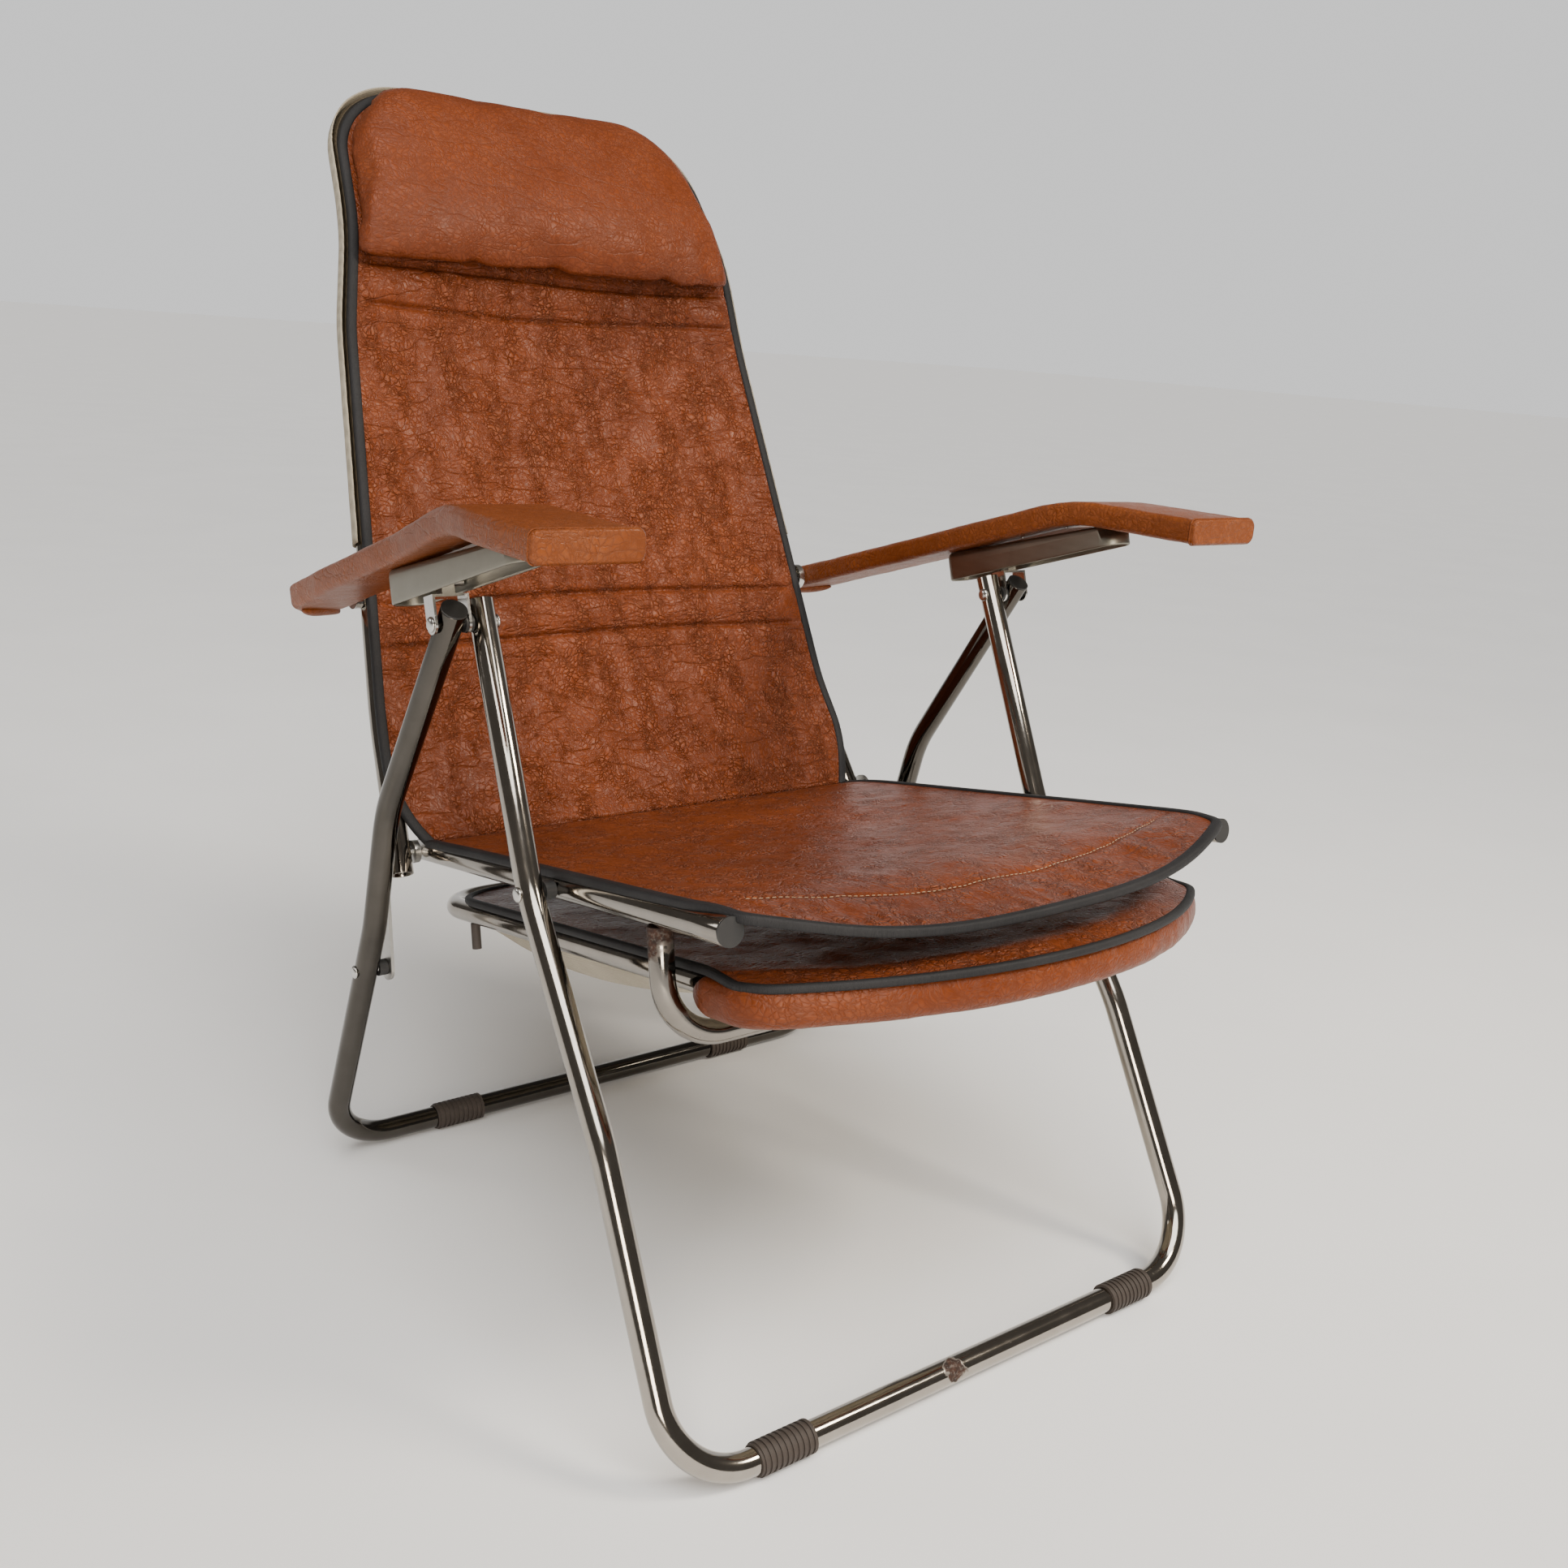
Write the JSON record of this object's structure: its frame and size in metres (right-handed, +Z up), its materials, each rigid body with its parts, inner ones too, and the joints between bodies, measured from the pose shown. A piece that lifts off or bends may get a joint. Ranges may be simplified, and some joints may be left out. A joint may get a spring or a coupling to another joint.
{
  "type": "folding reclining lounge chair",
  "caption": "Folding lounge chair in bent tube with a sling seat and back, headrest, notched reclining armrests and a pull-out footrest.",
  "frame": {"origin": "on the floor, under the middle of the bounding box", "axes": "+Z up, -Y the way the sitter faces, +X across the chair"},
  "size_m": [0.689, 0.8596, 0.9651],
  "materials": {
    "chrome_tube": "polished chrome plate with light rust spots",
    "sleeve_rubber": "matte ribbed",
    "bolt_steel": "bright zinc",
    "black_plastic": "matte",
    "strip_steel": "satin",
    "channel_steel": "dull nickel",
    "brown_vinyl": "crinkled leatherette, satin",
    "canvas_lining": "plain weave",
    "arm_board": "plain board, hidden inside the cover"
  },
  "bodies": {
    "front_legs": {"front_leg_frame": "chrome_tube", "front_floor_sleeves": "sleeve_rubber", "top_pivot_bolts": "bolt_steel", "top_pivot_spacers": "black_plastic", "seat_pivot_bolts": "bolt_steel", "seat_pivot_spacers": "black_plastic"},
    "rear_legs": {"rear_leg_frame": "chrome_tube", "rear_floor_sleeves": "sleeve_rubber", "rear_leg_caps": "black_plastic", "link_bolts": "bolt_steel", "link_spacers": "black_plastic"},
    "link_left": {"link_left": "strip_steel", "link_stud_left": "bolt_steel"},
    "link_right": {"link_right": "strip_steel", "link_stud_right": "bolt_steel"},
    "stirrup_left": {"stirrup_left": "strip_steel", "catch_pin_left": "strip_steel"},
    "stirrup_right": {"stirrup_right": "strip_steel", "catch_pin_right": "strip_steel"},
    "seat": {"seat_rails": "chrome_tube", "seat_brace": "chrome_tube", "seat_rail_caps": "black_plastic", "seat_cover": "brown_vinyl", "seat_lining": "canvas_lining"},
    "back_pivot": {"back_pivot_bolts": "bolt_steel", "back_pivot_spacers": "bolt_steel"},
    "back": {"back_frame": "chrome_tube", "back_cover": "brown_vinyl", "back_lining": "canvas_lining", "headrest_pad": "brown_vinyl"},
    "arm_pivot_left": {"arm_bolt_left": "bolt_steel"},
    "arm_pivot_right": {"arm_bolt_right": "bolt_steel"},
    "armrest_left": {"armrest_board_left": "arm_board", "armrest_cover_left": "brown_vinyl", "arm_channel_left": "channel_steel", "notch_rack_left": "strip_steel", "arm_screws_left": "bolt_steel"},
    "armrest_right": {"armrest_board_right": "arm_board", "armrest_cover_right": "brown_vinyl", "arm_channel_right": "channel_steel", "notch_rack_right": "strip_steel", "arm_screws_right": "bolt_steel"},
    "footrest": {"footrest_frame": "chrome_tube", "footrest_pad": "brown_vinyl", "footrest_lining": "canvas_lining", "footrest_stops": "sleeve_rubber"}
  },
  "joints": [
    {"name": "leg_fold", "type": "hinge", "parent": "front_legs", "child": "rear_legs", "pos_m": [0, -0.06121, 0.547], "axis": [-1, 0, 0], "range_deg": [0, 45]},
    {"name": "link_turn_left", "type": "hinge", "parent": "rear_legs", "child": "link_left", "pos_m": [-0.2695, 0.09015, 0.21775], "axis": [-1, 0, 0], "range_deg": [0, 133.29]},
    {"name": "stirrup_turn_left", "type": "hinge", "parent": "front_legs", "child": "stirrup_left", "pos_m": [-0.289, -0.06121, 0.547], "axis": [-1, 0, 0], "range_deg": [0, 93.45]},
    {"name": "link_turn_right", "type": "hinge", "parent": "rear_legs", "child": "link_right", "pos_m": [0.2695, 0.09015, 0.21775], "axis": [-1, 0, 0], "range_deg": [0, 133.29]},
    {"name": "stirrup_turn_right", "type": "hinge", "parent": "front_legs", "child": "stirrup_right", "pos_m": [0.289, -0.06121, 0.547], "axis": [-1, 0, 0], "range_deg": [0, 93.45]},
    {"name": "seat_fold", "type": "hinge", "parent": "front_legs", "child": "seat", "pos_m": [0, -0.14821, 0.364], "axis": [-1, 0, 0], "range_deg": [0, 90.01]},
    {"name": "back_stay", "type": "hinge", "parent": "seat", "child": "back_pivot", "pos_m": [0, 0.10479, 0.3135], "axis": [1, 0, 0], "range_deg": [0, 90.01]},
    {"name": "recline", "type": "hinge", "parent": "back_pivot", "child": "back", "pos_m": [0, 0.10479, 0.3135], "axis": [-1, 0, 0], "range_deg": [0, 30]},
    {"name": "arm_fold_left", "type": "hinge", "parent": "back", "child": "arm_pivot_left", "pos_m": [-0.231, 0.21592, 0.5195], "axis": [-1, 0, 0], "range_deg": [0, 93.45]},
    {"name": "arm_level_left", "type": "hinge", "parent": "arm_pivot_left", "child": "armrest_left", "pos_m": [-0.265, 0.21592, 0.5195], "axis": [1, 0, 0], "range_deg": [0, 22.09]},
    {"name": "arm_fold_right", "type": "hinge", "parent": "back", "child": "arm_pivot_right", "pos_m": [0.231, 0.21592, 0.5195], "axis": [-1, 0, 0], "range_deg": [0, 93.45]},
    {"name": "arm_level_right", "type": "hinge", "parent": "arm_pivot_right", "child": "armrest_right", "pos_m": [0.265, 0.21592, 0.5195], "axis": [1, 0, 0], "range_deg": [0, 22.09]},
    {"name": "footrest_slide", "type": "slide", "parent": "seat", "child": "footrest", "axis": [0, -0.9807, 0.1957], "range_m": [0, 0.318]}
  ],
  "couplings": [
    {"joint": "link_turn_left", "follows": "leg_fold", "ratio": 2.9618},
    {"joint": "stirrup_turn_left", "follows": "leg_fold", "ratio": 2.0764},
    {"joint": "arm_fold_left", "follows": "leg_fold", "ratio": 2.0764},
    {"joint": "arm_level_left", "follows": "recline", "ratio": 0.73598},
    {"joint": "link_turn_right", "follows": "leg_fold", "ratio": 2.9618},
    {"joint": "stirrup_turn_right", "follows": "leg_fold", "ratio": 2.0764},
    {"joint": "arm_fold_right", "follows": "leg_fold", "ratio": 2.0764},
    {"joint": "arm_level_right", "follows": "recline", "ratio": 0.73598},
    {"joint": "seat_fold", "follows": "leg_fold", "ratio": 2},
    {"joint": "back_stay", "follows": "leg_fold", "ratio": 2}
  ]
}
